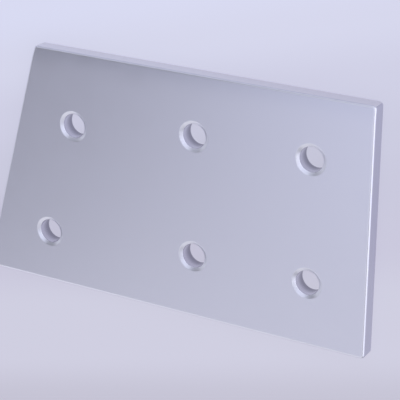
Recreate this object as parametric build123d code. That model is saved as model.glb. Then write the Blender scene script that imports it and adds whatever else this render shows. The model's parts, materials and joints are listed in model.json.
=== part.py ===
from build123d import *
from math import cos, radians, sin
import os

# Angled joining plate for slotted aluminium profiles: a flat bar with one square end and one
# slanted end, four holes on a square and a pair that follows the slanted end.
# The plate lies on its back face in the XY plane, with +Z out of the front face and +X towards
# the square end. The origin is the centre of the hole square, on the back face.

# Driving dimensions, in millimetres and degrees
hole_pitch = 45.0           # centre to centre in the square and in the slanted pair
pair_gap = 50.0             # along X, from the square's inner column to the pair's upper hole
edge_margin = 22.5          # hole centres to the top edge and to the square end
foot_margin = 23.5          # lower hole centres to the bottom edge
slant_margin = 23.0         # pair centres to the slanted end, measured square to it
end_slant = 15.0            # lean of the slanted end from square
plate_thickness = 6.0
bore_diameter = 9.0         # clearance for an M8 screw
mouth_diameter = 11.4       # of the shallow countersink at the front of each bore
mouth_angle = 120.0         # included angle of that countersink
face_edge_radius = 0.9      # rounding that runs round the front face
corner_face_radius = 0.6    # corner radius left on the front face, inside the rounding
back_edge_break = 0.3       # chamfer that runs round the back face

# The slanted end's own directions: down along it, and square to it into the plate
slant_down = Vector(-sin(radians(end_slant)), -cos(radians(end_slant)))
slant_inward = Vector(cos(radians(end_slant)), -sin(radians(end_slant)))

# Edges of the plate, set out from the hole square
half_pitch = hole_pitch / 2
square_end_x = half_pitch + edge_margin
top_y = half_pitch + edge_margin
bottom_y = -half_pitch - foot_margin


def square_centres():
    """Return the four hole centres of the square."""
    offsets = (-half_pitch, half_pitch)
    return [Vector(x, y) for x in offsets for y in offsets]


def pair_centres(corner):
    """Return the two hole centres beside the slanted end, set out from its upper corner."""
    upper = corner + slant_down * edge_margin + slant_inward * slant_margin
    return [upper, upper + slant_down * hole_pitch]


def upper_slant_corner():
    """Return the sharp corner where the slanted end meets the top edge."""
    upper_hole_x = -half_pitch - pair_gap
    corner_to_hole = slant_down * edge_margin + slant_inward * slant_margin
    return Vector(upper_hole_x - corner_to_hole.X, top_y)


def outline_face(corner):
    """Return the plate's outline, a right trapezoid with rounded corners."""
    slant_length = (bottom_y - top_y) / slant_down.Y
    foot = corner + slant_down * slant_length
    corners = [corner, Vector(square_end_x, top_y), Vector(square_end_x, bottom_y), foot]
    face = make_face(Polyline(*corners, close=True))
    return fillet(face.vertices(), face_edge_radius + corner_face_radius)


def soften_edges(plate):
    """Round the edge of the front face and break the edge of the back face."""
    plate = fillet(plate.edges().group_by(Axis.Z)[-1], face_edge_radius)
    return chamfer(plate.edges().group_by(Axis.Z)[0], back_edge_break)


def screw_bore():
    """Return one cutter: a bore through the plate with its countersunk mouth at the front."""
    return CounterSinkHole(bore_diameter / 2, mouth_diameter / 2, plate_thickness, mouth_angle)


def joining_plate():
    """Return the finished plate."""
    corner = upper_slant_corner()
    plate = soften_edges(extrude(outline_face(corner), plate_thickness))
    for centre in square_centres() + pair_centres(corner):
        plate -= Pos(centre.X, centre.Y, plate_thickness) * screw_bore()
    return plate


os.makedirs("parts", exist_ok=True)
export_step(joining_plate(), "parts/joining_plate.step")
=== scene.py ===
import json
from math import cos, exp, pi, radians, sin, tan

import bmesh
import bpy
from mathutils import Matrix, Vector


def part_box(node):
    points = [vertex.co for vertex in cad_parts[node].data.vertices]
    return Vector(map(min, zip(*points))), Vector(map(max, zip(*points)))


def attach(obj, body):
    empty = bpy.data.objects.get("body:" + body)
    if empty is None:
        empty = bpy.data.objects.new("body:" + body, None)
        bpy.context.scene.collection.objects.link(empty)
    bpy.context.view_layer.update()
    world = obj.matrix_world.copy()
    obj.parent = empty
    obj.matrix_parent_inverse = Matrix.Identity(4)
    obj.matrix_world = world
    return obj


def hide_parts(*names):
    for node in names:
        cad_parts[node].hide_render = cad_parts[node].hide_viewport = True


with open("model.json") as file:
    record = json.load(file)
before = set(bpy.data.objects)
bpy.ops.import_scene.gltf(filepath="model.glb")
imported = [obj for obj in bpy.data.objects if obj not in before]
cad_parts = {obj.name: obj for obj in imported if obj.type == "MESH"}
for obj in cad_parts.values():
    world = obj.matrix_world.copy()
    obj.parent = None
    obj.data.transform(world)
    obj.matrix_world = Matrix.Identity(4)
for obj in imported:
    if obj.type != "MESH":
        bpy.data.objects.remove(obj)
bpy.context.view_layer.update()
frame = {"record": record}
plateLow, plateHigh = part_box("joining_plate")
mounts = {mount["name"]: mount for mount in frame["record"]["mounts"]}
mm = 0.001
print("frame loaded, plate", [round(size / mm, 1) for size in plateHigh - plateLow], "mm")


def hexToLinear(hexColour):
    channels = [int(hexColour[i : i + 2], 16) / 255 for i in (1, 3, 5)]
    linear = [c / 12.92 if c <= 0.04045 else ((c + 0.055) / 1.055) ** 2.4 for c in channels]
    return (*linear, 1.0)


def addNode(tree, kind, inputs=None, **settings):
    node = tree.nodes.new(kind)
    for name, value in settings.items():
        setattr(node, name, value)
    for key, value in (inputs or {}).items():
        if isinstance(value, bpy.types.NodeSocket):
            tree.links.new(value, node.inputs[key])
        else:
            node.inputs[key].default_value = value
    return node


# The finishes. All of them are aluminium under a thin clear anodised layer.

anodisedLook = {
    # blasted with fine beads: an even satin that spreads light softly, with a faint cloudiness
    "Blasted anodised aluminium": {
        "colour": "#D6D7E7", "paintedShadeColour": None, "roughness": 0.40, "roughnessSwing": 0.015,
        "grainMm": 0.35, "grainDepthMm": 0.004, "linesMm": None,
    },
    # rounded over: nearly the same satin, a little smoother
    "Rounded anodised aluminium": {
        "colour": "#DFE0EC", "paintedShadeColour": None, "roughness": 0.36, "roughnessSwing": 0.015,
        "grainMm": 0.35, "grainDepthMm": 0.002, "linesMm": None,
    },
    # long edges as the bar was drawn, with faint lines along the bar: pale and even, lighter than the faces,
    # partly a brighter metal and partly painted light on the long edges
    "Drawn anodised aluminium": {
        "colour": "#E9E8EC", "paintedShadeColour": None, "roughness": 0.45, "roughnessSwing": 0.03,
        "grainMm": 0.35, "grainDepthMm": 0.002, "linesMm": 0.45,
    },
    # sawn ends: a coarser cut; the colour is a little darker, painted shade on the ends
    "Sawn anodised aluminium with painted shade": {
        "colour": "#CFCFDA", "paintedShadeColour": None, "roughness": 0.50, "roughnessSwing": 0.03,
        "grainMm": 0.30, "grainDepthMm": 0.003, "linesMm": 0.40,
    },
    # drilled: the wall's colour darkens deeper down the bore, painted shade of the recess
    "Drilled anodised aluminium with painted shade": {
        "colour": "#DADAE4", "paintedShadeColour": "#A6A6B0", "roughness": 0.25, "roughnessSwing": 0.03,
        "grainMm": 0.30, "grainDepthMm": 0.001, "linesMm": 0.40,
    },
}

sharedLook = {
    "cloudMm": 7,
    "cloudRoughness": 0.55,
    "cloudRange": (0.3, 0.7),  # the noise values between which the roughness swings
    "lineScale": (0.02, 0.02, 1.0),  # drawn out along the lines, full detail across them
    "shadeStartsFromMm": 1.5,  # below the front face, where the painted shade in the bores begins
    "shadeFullFromMm": 1.0,  # above the back face, where the painted shade in the bores is full
}


def makeAnodised(name):
    look = anodisedLook[name]
    material = bpy.data.materials.new(name)
    material.use_nodes = True
    tree = material.node_tree
    tree.nodes.clear()
    place = addNode(tree, "ShaderNodeTexCoord").outputs["Object"]
    cloud = addNode(tree, "ShaderNodeTexNoise",
                    {"Vector": place, "Scale": 1 / (sharedLook["cloudMm"] * mm), "Detail": 3.0,
                     "Roughness": sharedLook["cloudRoughness"]})
    grain = addNode(tree, "ShaderNodeTexNoise",
                    {"Vector": place, "Scale": 1 / (look["grainMm"] * mm), "Detail": 2.0})
    relief = grain.outputs["Fac"]
    if look["linesMm"]:
        # lines run at constant height: along the edges, and as rings in the bores
        stretch = addNode(tree, "ShaderNodeMapping", {"Vector": place, "Scale": sharedLook["lineScale"]})
        lines = addNode(tree, "ShaderNodeTexNoise",
                        {"Vector": stretch.outputs[0], "Scale": 1 / (look["linesMm"] * mm), "Detail": 2.0})
        relief = addNode(tree, "ShaderNodeMath",
                         {0: relief, 1: lines.outputs["Fac"]}, operation="ADD").outputs[0]
    bump = addNode(tree, "ShaderNodeBump",
                   {"Height": relief, "Distance": look["grainDepthMm"] * mm, "Strength": 1.0})
    cloudLow, cloudHigh = sharedLook["cloudRange"]
    roughness = addNode(tree, "ShaderNodeMapRange",
                        {"Value": cloud.outputs["Fac"], "From Min": cloudLow, "From Max": cloudHigh,
                         "To Min": look["roughness"] - look["roughnessSwing"],
                         "To Max": look["roughness"] + look["roughnessSwing"]})
    shader = addNode(tree, "ShaderNodeBsdfPrincipled",
                     {"Base Color": hexToLinear(look["colour"]), "Metallic": 1.0,
                      "Roughness": roughness.outputs[0], "Normal": bump.outputs[0]})
    # painted shade: the bore wall's colour darkens with depth towards the back face, standing in for the
    # shade inside the bore
    if look["paintedShadeColour"]:
        level = addNode(tree, "ShaderNodeSeparateXYZ", {0: place}).outputs["Z"]
        depth = addNode(tree, "ShaderNodeMapRange",
                        {"Value": level, "From Min": plateHigh.z - sharedLook["shadeStartsFromMm"] * mm,
                         "From Max": plateLow.z + sharedLook["shadeFullFromMm"] * mm},
                        interpolation_type="SMOOTHSTEP")
        colour = addNode(tree, "ShaderNodeMix",
                         {"Factor": depth.outputs[0], "A": hexToLinear(look["colour"]),
                          "B": hexToLinear(look["paintedShadeColour"])}, data_type="RGBA")
        tree.links.new(colour.outputs["Result"], shader.inputs["Base Color"])
    addNode(tree, "ShaderNodeOutputMaterial", {"Surface": shader.outputs[0]})
    return material


# The plate: a rim swept round the outline, swept bores set on points, and the two faces filled.

plateShape = {
    "endSlant": radians(15),
    "slantMargin": 23.0 * mm,  # pair centres to the slanted end
    "cornerRadius": 1.5 * mm,
    "edgeRadius": 0.9 * mm,
    "backBreak": 0.3 * mm,
    "mouthDiameter": 11.4 * mm,
    "mouthAngle": radians(120),  # included angle of the countersink
    "mouthBreak": 0.35 * mm,  # softening of the countersink's outer edge
    "boreBreak": 0.15 * mm,  # softening where the countersink meets the bore, and at the bore's far end
    "border": 0.4 * mm,  # flat strip that keeps the shading of the faces flat
    "rollAngle": radians(7),  # the front face falls away slightly towards its long +Y edge
    "rollWidth": 4.5 * mm,
    "rollLayer": 1.5,  # depth that falls with the face, in edge radii
    "rollCuts": 15,
    "rollCutsPerWidth": 6,
    "dropSteps": 400,
    "cutTolerance": 1e-7,
    "mergeWithin": 0.002 * mm,
    "uprightLean": 0.5,  # a face that leans less than this towards Z is an upright one
    "levelLean": 0.999,
    "endLean": 0.7,  # an upright face that leans more than this towards X is an end
    "cornerSteps": 16,
    "edgeSteps": 10,
    "boreSteps": 96,
}


# numbers for the finishes, in the order of buildPlate's materials
zones = {"face": 0, "rounding": 1, "edge": 2, "end": 3, "bore": 4}


def plateSizes():
    slant = plateShape["endSlant"]
    square, pair = mounts["square_holes"], mounts["slanted_pair"]
    pairCentre = Vector(pair["pos_m"])
    onEnd = pairCentre - Vector((cos(slant), -sin(slant), 0)) * plateShape["slantMargin"]
    endX = {y: onEnd.x + (y - onEnd.y) * tan(slant) for y in (plateLow.y, plateHigh.y)}
    pairStep = Vector((-sin(slant), -cos(slant), 0)) * pair["dims"]["pcd_mm"] * mm
    boreRadius = square["dims"]["hole_r_mm"] * mm
    mouthWidth = plateShape["mouthDiameter"] / 2 - boreRadius
    return {
        "Top Slant Corner": Vector((endX[plateHigh.y], plateHigh.y, 0)),
        "Foot Slant Corner": Vector((endX[plateLow.y], plateLow.y, 0)),
        "Foot Square Corner": Vector((plateHigh.x, plateLow.y, 0)),
        "Top Square Corner": Vector((plateHigh.x, plateHigh.y, 0)),
        "Square Centre": Vector(square["pos_m"]),
        "Square Pitch": square["dims"]["spacing_x_mm"] * mm,
        "Pair Start": pairCentre - pairStep / 2,
        "Pair Step": pairStep,
        "Thickness": plateHigh.z - plateLow.z,
        "Corner Radius": plateShape["cornerRadius"],
        "Edge Radius": plateShape["edgeRadius"],
        "Back Break": plateShape["backBreak"],
        "Bore Radius": boreRadius,
        "Mouth Width": mouthWidth,
        "Mouth Depth": mouthWidth / tan(plateShape["mouthAngle"] / 2),
        "Mouth Break": plateShape["mouthBreak"],
        "Bore Break": plateShape["boreBreak"],
        "Border": plateShape["border"],
    }


def addSection(tree, corners):
    # an open section: each corner is (out from the path, depth below the front, rounding)
    index = addNode(tree, "GeometryNodeInputIndex").outputs[0]
    place = addNode(tree, "GeometryNodeIndexSwitch", {"Index": index}, data_type="VECTOR")
    rounding = addNode(tree, "GeometryNodeIndexSwitch", {"Index": index}, data_type="FLOAT")
    for switch in (place, rounding):
        while len(switch.index_switch_items) < len(corners):
            switch.index_switch_items.new()
    for i, (out, depth, radius) in enumerate(corners):
        corner = addNode(tree, "ShaderNodeCombineXYZ", {"X": out, "Y": depth})
        tree.links.new(corner.outputs[0], place.inputs[str(i)])
        if radius:
            tree.links.new(radius, rounding.inputs[str(i)])
    points = addNode(tree, "GeometryNodePoints", {"Count": len(corners), "Position": place.outputs[0]})
    line = addNode(tree, "GeometryNodePointsToCurves", {"Points": points.outputs[0]})
    return addNode(tree, "GeometryNodeFilletCurve",
                   {"Curve": line.outputs[0], "Count": plateShape["edgeSteps"],
                    "Radius": rounding.outputs[0]}, mode="POLY").outputs[0]


def addFace(tree, walls, thickness, front):
    # fill the open edge loops at the front or the back of the walls
    place = addNode(tree, "GeometryNodeInputPosition").outputs[0]
    height = addNode(tree, "ShaderNodeSeparateXYZ", {0: place}).outputs["Z"]
    half = addNode(tree, "ShaderNodeMath", {0: thickness, 1: 0.5}, operation="MULTIPLY").outputs[0]
    side = addNode(tree, "FunctionNodeCompare", {"A": height, "B": half},
                   operation="GREATER_THAN" if front else "LESS_THAN").outputs[0]
    neighbours = addNode(tree, "GeometryNodeInputMeshEdgeNeighbors").outputs[0]
    loose = addNode(tree, "FunctionNodeCompare", {2: neighbours, 3: 1}, data_type="INT",
                    operation="EQUAL").outputs[0]
    both = addNode(tree, "FunctionNodeBooleanMath", {0: side, 1: loose}, operation="AND").outputs[0]
    loops = addNode(tree, "GeometryNodeMeshToCurve", {"Mesh": walls, "Selection": both}).outputs[0]
    filled = addNode(tree, "GeometryNodeFillCurve", {"Curve": loops}).outputs[0]
    if not front:
        return addNode(tree, "GeometryNodeFlipFaces", {"Mesh": filled}).outputs[0]
    lift = addNode(tree, "ShaderNodeCombineXYZ", {"Z": thickness}).outputs[0]
    return addNode(tree, "GeometryNodeTransform", {"Geometry": filled, "Translation": lift}).outputs[0]


def addZone(tree, geometry, number, selection=True):
    return addNode(tree, "GeometryNodeStoreNamedAttribute",
                   {"Geometry": geometry, "Selection": selection, "Name": "zone", "Value": number},
                   data_type="INT", domain="FACE").outputs[0]


def addTest(tree, value, operation, limit):
    return addNode(tree, "FunctionNodeCompare", {"A": value, "B": limit}, operation=operation).outputs[0]


def addLean(tree, axis):
    # how far each face leans towards an axis, from 0 to 1
    normal = addNode(tree, "GeometryNodeInputNormal").outputs[0]
    facing = addNode(tree, "ShaderNodeSeparateXYZ", {0: normal})
    return addNode(tree, "ShaderNodeMath", {0: facing.outputs[axis]}, operation="ABSOLUTE").outputs[0]


def buildPlateTree(sizes, materials):
    tree = bpy.data.node_groups.new("Angled plate", "GeometryNodeTree")
    socketKinds = {float: "NodeSocketFloat", Vector: "NodeSocketVector"}
    for name, value in sizes.items():
        tree.interface.new_socket(name, in_out="INPUT", socket_type=socketKinds[type(value)])
    for name in materials:
        tree.interface.new_socket(name, in_out="INPUT", socket_type="NodeSocketMaterial")
    tree.interface.new_socket("Plate", in_out="OUTPUT", socket_type="NodeSocketGeometry")
    given = addNode(tree, "NodeGroupInput").outputs
    lift = addNode(tree, "ShaderNodeCombineXYZ", {"Z": given["Thickness"]}).outputs[0]

    # rim
    outline = addNode(tree, "GeometryNodeCurvePrimitiveQuadrilateral",
                      {"Point 1": given["Top Slant Corner"], "Point 2": given["Foot Slant Corner"],
                       "Point 3": given["Foot Square Corner"], "Point 4": given["Top Square Corner"]},
                      mode="POINTS")
    rounded = addNode(tree, "GeometryNodeFilletCurve",
                      {"Curve": outline.outputs[0], "Count": plateShape["cornerSteps"],
                       "Radius": given["Corner Radius"]}, mode="POLY")
    path = addNode(tree, "GeometryNodeTransform", {"Geometry": rounded.outputs[0], "Translation": lift})
    inset = addNode(tree, "ShaderNodeMath", {0: given["Edge Radius"], 1: given["Border"]}, operation="ADD")
    inside = addNode(tree, "ShaderNodeMath", {0: 0.0, 1: inset.outputs[0]}, operation="SUBTRACT").outputs[0]
    section = addSection(tree, [(inside, 0.0, None), (0.0, 0.0, given["Edge Radius"]),
                                (0.0, given["Thickness"], given["Back Break"]),
                                (inside, given["Thickness"], None)])
    rim = addNode(tree, "GeometryNodeCurveToMesh",
                  {"Curve": path.outputs[0], "Profile Curve": section}).outputs[0]

    # bores
    mouthOut = addNode(tree, "ShaderNodeMath",
                       {0: given["Mouth Width"], 1: given["Border"]}, operation="ADD").outputs[0]
    section = addSection(tree, [(given["Border"], given["Thickness"], None),
                                (0.0, given["Thickness"], given["Bore Break"]),
                                (0.0, given["Mouth Depth"], given["Bore Break"]),
                                (given["Mouth Width"], 0.0, given["Mouth Break"]),
                                (mouthOut, 0.0, None)])
    ring = addNode(tree, "GeometryNodeCurvePrimitiveCircle",
                   {"Resolution": plateShape["boreSteps"], "Radius": given["Bore Radius"]})
    bore = addNode(tree, "GeometryNodeCurveToMesh",
                   {"Curve": ring.outputs[0], "Profile Curve": section}).outputs[0]
    grid = addNode(tree, "GeometryNodeMeshGrid",
                   {"Size X": given["Square Pitch"], "Size Y": given["Square Pitch"],
                    "Vertices X": 2, "Vertices Y": 2}).outputs[0]
    square = addNode(tree, "GeometryNodeTransform",
                     {"Geometry": grid, "Translation": given["Square Centre"]}).outputs[0]
    pair = addNode(tree, "GeometryNodeMeshLine", {"Count": 2, "Start Location": given["Pair Start"],
                                                  "Offset": given["Pair Step"]}).outputs[0]
    centres = addNode(tree, "GeometryNodeJoinGeometry", {0: square})
    tree.links.new(pair, centres.inputs[0])
    lifted = addNode(tree, "GeometryNodeTransform",
                     {"Geometry": centres.outputs[0], "Translation": lift}).outputs[0]
    placed = addNode(tree, "GeometryNodeInstanceOnPoints", {"Points": lifted, "Instance": bore}).outputs[0]
    bores = addNode(tree, "GeometryNodeRealizeInstances", {"Geometry": placed}).outputs[0]

    # zones
    upright = addTest(tree, addLean(tree, "Z"), "LESS_THAN", plateShape["uprightLean"])
    level = addTest(tree, addLean(tree, "Z"), "GREATER_THAN", plateShape["levelLean"])
    across = addTest(tree, addLean(tree, "X"), "GREATER_THAN", plateShape["endLean"])
    ends = addNode(tree, "FunctionNodeBooleanMath", {0: upright, 1: across}, operation="AND").outputs[0]
    rim = addZone(tree, rim, zones["rounding"])
    rim = addZone(tree, rim, zones["edge"], upright)
    rim = addZone(tree, rim, zones["end"], ends)
    bores = addZone(tree, bores, zones["rounding"])
    bores = addZone(tree, bores, zones["bore"], upright)
    joined = addNode(tree, "GeometryNodeJoinGeometry", {0: rim})
    tree.links.new(bores, joined.inputs[0])
    flat = addZone(tree, joined.outputs[0], zones["face"], level)
    walls = addNode(tree, "GeometryNodeJoinGeometry", {0: flat})

    # faces, then the whole plate with its finishes
    everything = addNode(tree, "GeometryNodeJoinGeometry", {0: walls.outputs[0]})
    for front in (True, False):
        face = addFace(tree, walls.outputs[0], given["Thickness"], front)
        tree.links.new(addZone(tree, face, zones["face"]), everything.inputs[0])
    merged = addNode(tree, "GeometryNodeMergeByDistance",
                     {"Geometry": everything.outputs[0], "Distance": plateShape["mergeWithin"]})
    smooth = addNode(tree, "GeometryNodeSetShadeSmooth", {"Geometry": merged.outputs[0]})
    result = addNode(tree, "GeometryNodeRealizeInstances", {"Geometry": smooth.outputs[0]}).outputs[0]
    zone = addNode(tree, "GeometryNodeInputNamedAttribute", {"Name": "zone"}, data_type="INT").outputs[0]
    for number, name in enumerate(materials):
        chosen = addNode(tree, "FunctionNodeCompare", {2: zone, 3: number}, data_type="INT",
                         operation="EQUAL").outputs[0]
        result = addNode(tree, "GeometryNodeSetMaterial", {"Geometry": result, "Selection": chosen,
                                                           "Material": given[name]}).outputs[0]
    addNode(tree, "NodeGroupOutput", {0: result})
    return tree


def rollFrontFace(mesh):
    # cut lines along the +Y edge, then the drop that adds up the falling slope
    width, cuts = plateShape["rollWidth"], plateShape["rollCuts"]
    reach = [width * step / plateShape["rollCutsPerWidth"] for step in range(1, cuts + 1)]
    cutMesh = bmesh.new()
    cutMesh.from_mesh(mesh)
    for out in reach:
        everything = cutMesh.verts[:] + cutMesh.edges[:] + cutMesh.faces[:]
        bmesh.ops.bisect_plane(cutMesh, geom=everything, dist=plateShape["cutTolerance"], plane_no=(0, 1, 0),
                               plane_co=(0, plateHigh.y - out, 0))
    drops = [0.0]  # from far inside to the edge
    steps = plateShape["dropSteps"]
    far = reach[-1]
    for i in range(steps):
        out = far * (1 - (i + 0.5) / steps)
        slope = plateShape["rollAngle"] * exp(-(out / width) ** 2)
        drops.append(drops[-1] + tan(slope) * far / steps)
    lowest = plateHigh.z - plateShape["rollLayer"] * plateShape["edgeRadius"]
    for vertex in cutMesh.verts:
        out = plateHigh.y - vertex.co.y
        if out < far and vertex.co.z > lowest:
            vertex.co.z -= drops[round((1 - out / far) * steps)]
    cutMesh.to_mesh(mesh)
    cutMesh.free()


def buildPlate():
    sizes = plateSizes()
    materials = {
        "Face Finish": makeAnodised("Blasted anodised aluminium"),
        "Rounded Finish": makeAnodised("Rounded anodised aluminium"),
        "Edge Finish": makeAnodised("Drawn anodised aluminium"),
        "End Finish": makeAnodised("Sawn anodised aluminium with painted shade"),
        "Bore Finish": makeAnodised("Drilled anodised aluminium with painted shade"),
    }
    tree = buildPlateTree(sizes, materials)
    maker = bpy.data.objects.new("plateMaker", bpy.data.meshes.new("plateMaker"))
    bpy.context.collection.objects.link(maker)
    modifier = maker.modifiers.new("Angled plate", "NODES")
    modifier.node_group = tree
    sockets = {item.name: item.identifier for item in tree.interface.items_tree}
    for name, value in {**sizes, **materials}.items():
        modifier[sockets[name]] = value
    graph = bpy.context.evaluated_depsgraph_get()
    mesh = bpy.data.meshes.new_from_object(maker.evaluated_get(graph), depsgraph=graph)
    mesh.materials.pop(index=0)  # an empty slot that nothing uses
    rollFrontFace(mesh)
    maker.modifiers.remove(modifier)
    bpy.data.objects.remove(maker)
    plate = bpy.data.objects.new("angled_plate", mesh)
    bpy.context.collection.objects.link(plate)
    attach(plate, "root")
    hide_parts("joining_plate")
    return plate


plate = buildPlate()
finishes = [material.name for material in plate.data.materials]
print("plate built,", len(plate.data.polygons), "faces,", finishes)

# The surroundings: a pale floor, a pale room and soft boxes.

floorLook = {
    # the floor's colour at places along a line, in mm: the lighter and darker bands along it are painted
    # light and shade on the floor
    "colourAndShadeAlongMm": [
        (-75, "#C9C7D7"), (-56, "#D3D2E3"), (-36, "#D3D2E3"), (-17, "#CECCDF"), (2, "#CDCCDF"),
        (21, "#CFCFE2"), (40, "#D3D3E7"), (59, "#D9DAEE"), (78, "#DCDEF4"),
    ],
    "lineTurn": radians(15),  # from +Y towards -X
    "glow": 0.82,  # share that shows the floor's colour ramp, painted light and shade included, and not its shading from the lamps
    "sizeM": 6.0,
}


def buildFloor():
    half = floorLook["sizeM"] / 2
    corners = ((-half, -half), (half, -half), (half, half), (-half, half))
    mesh = bpy.data.meshes.new("floor")
    mesh.from_pydata([(x, y, plateLow.z) for x, y in corners], [], [(0, 1, 2, 3)])
    floor = bpy.data.objects.new("floor", mesh)
    bpy.context.collection.objects.link(floor)
    material = bpy.data.materials.new("Pale matt floor")
    material.use_nodes = True
    tree = material.node_tree
    tree.nodes.clear()
    place = addNode(tree, "ShaderNodeTexCoord").outputs["Object"]
    line = (-sin(floorLook["lineTurn"]), cos(floorLook["lineTurn"]), 0.0)
    along = addNode(tree, "ShaderNodeVectorMath", {0: place, 1: line},
                    operation="DOT_PRODUCT").outputs["Value"]
    # painted light and shade: the floor's colour follows a ramp along a fixed line, lighter and darker where
    # light and shade fall
    stops = floorLook["colourAndShadeAlongMm"]
    first, last = stops[0][0], stops[-1][0]
    reach = addNode(tree, "ShaderNodeMapRange",
                    {"Value": along, "From Min": first * mm, "From Max": last * mm})
    fade = addNode(tree, "ShaderNodeValToRGB", {"Fac": reach.outputs[0]})
    ramp = fade.color_ramp
    ramp.interpolation = "EASE"
    while len(ramp.elements) < len(stops):
        ramp.elements.new(1.0)
    for element, (stop, hexColour) in zip(ramp.elements, stops):
        element.position = (stop - first) / (last - first)
        element.color = hexToLinear(hexColour)
    colour = fade.outputs["Color"]
    shaded = addNode(tree, "ShaderNodeBsdfDiffuse", {"Color": colour})
    plain = addNode(tree, "ShaderNodeEmission", {"Color": colour})
    ray = addNode(tree, "ShaderNodeLightPath").outputs
    direct = addNode(tree, "ShaderNodeMath", {0: ray["Is Camera Ray"], 1: ray["Is Glossy Ray"]},
                     operation="MAXIMUM")
    seen = addNode(tree, "ShaderNodeMath", {0: direct.outputs[0], 1: ray["Is Transmission Ray"]},
                   operation="MAXIMUM")
    share = addNode(tree, "ShaderNodeMath", {0: seen.outputs[0], 1: floorLook["glow"]}, operation="MULTIPLY")
    mixed = addNode(tree, "ShaderNodeMixShader",
                    {0: share.outputs[0], 1: shaded.outputs[0], 2: plain.outputs[0]})
    addNode(tree, "ShaderNodeOutputMaterial", {"Surface": mixed.outputs[0]})
    mesh.materials.append(material)


buildFloor()

roomLook = {"colour": "#F5F6FF", "strength": 0.257}


def buildRoom():
    world = bpy.data.worlds.new("Pale room")
    bpy.context.scene.world = world
    world.use_nodes = True
    tree = world.node_tree
    tree.nodes.clear()
    glow = addNode(tree, "ShaderNodeBackground", {"Color": hexToLinear(roomLook["colour"]),
                                                  "Strength": roomLook["strength"]})
    addNode(tree, "ShaderNodeOutputWorld", {"Surface": glow.outputs[0]})


buildRoom()

# each soft box: where it is from the plate's middle, its size, and how bright its face is
softBoxes = {
    "side box": {
        "fromPlateMm": (1114, 12, 502), "sizeMm": (2200, 1609), "brightness": 1.32,
    },
    "top box": {
        "fromPlateMm": (46, 87, 301), "sizeMm": (284, 519), "brightness": 0.770, "colour": "#EBEFFF",
    },
    "front box": {
        "fromPlateMm": (-166, -654, 315), "sizeMm": (843, 1300), "brightness": 0.709, "colour": "#F7F6F8",
    },
    "end box": {
        "fromPlateMm": (-1561, -376, 493), "sizeMm": (2659, 1044), "brightness": 0.632,
    },
    "back box": {
        "fromPlateMm": (-118, 958, 541), "sizeMm": (1967, 692), "brightness": 0.64, "colour": "#EEF1FF",
    },
}


def buildSoftBoxes():
    middle = (plateLow + plateHigh) / 2
    for name, box in softBoxes.items():
        data = bpy.data.lights.new(name, "AREA")
        data.shape = "RECTANGLE"
        data.size, data.size_y = (side * mm for side in box["sizeMm"])
        data.energy = box["brightness"] * pi * data.size * data.size_y
        data.color = hexToLinear(box.get("colour", roomLook["colour"]))[:3]
        lamp = bpy.data.objects.new(name, data)
        lamp.location = middle + Vector(box["fromPlateMm"]) * mm
        lamp.rotation_euler = (middle - lamp.location).to_track_quat("-Z", "Y").to_euler()
        lamp.visible_camera = False
        bpy.context.collection.objects.link(lamp)


buildSoftBoxes()
print("floor, room and soft boxes placed")

cameraView = {
    "aimMm": (-19.7, -0.4, 6.0),
    "bearing": radians(38.82),  # from +X towards +Y
    "elevation": radians(53.77),
    "distanceMm": 562.0,
    "roll": radians(-0.4),  # from having +Y upright
    "lensMm": 144.9,
    "clipStartM": 0.01,
}


def buildCamera():
    bearing, elevation = cameraView["bearing"], cameraView["elevation"]
    back = Vector((cos(elevation) * cos(bearing), cos(elevation) * sin(bearing), sin(elevation)))
    right = Vector((0, 1, 0)).cross(back).normalized()
    up = back.cross(right)
    turn = Matrix((right, up, back)).transposed().to_4x4() @ Matrix.Rotation(-cameraView["roll"], 4, "Z")
    place = Vector(cameraView["aimMm"]) * mm + back * cameraView["distanceMm"] * mm
    data = bpy.data.cameras.new("camera")
    data.lens = cameraView["lensMm"]
    data.clip_start = cameraView["clipStartM"]
    camera = bpy.data.objects.new("camera", data)
    camera.matrix_world = Matrix.Translation(place) @ turn
    bpy.context.collection.objects.link(camera)
    bpy.context.scene.camera = camera


buildCamera()
bpy.context.scene.view_settings.view_transform = "Standard"
print("camera placed")
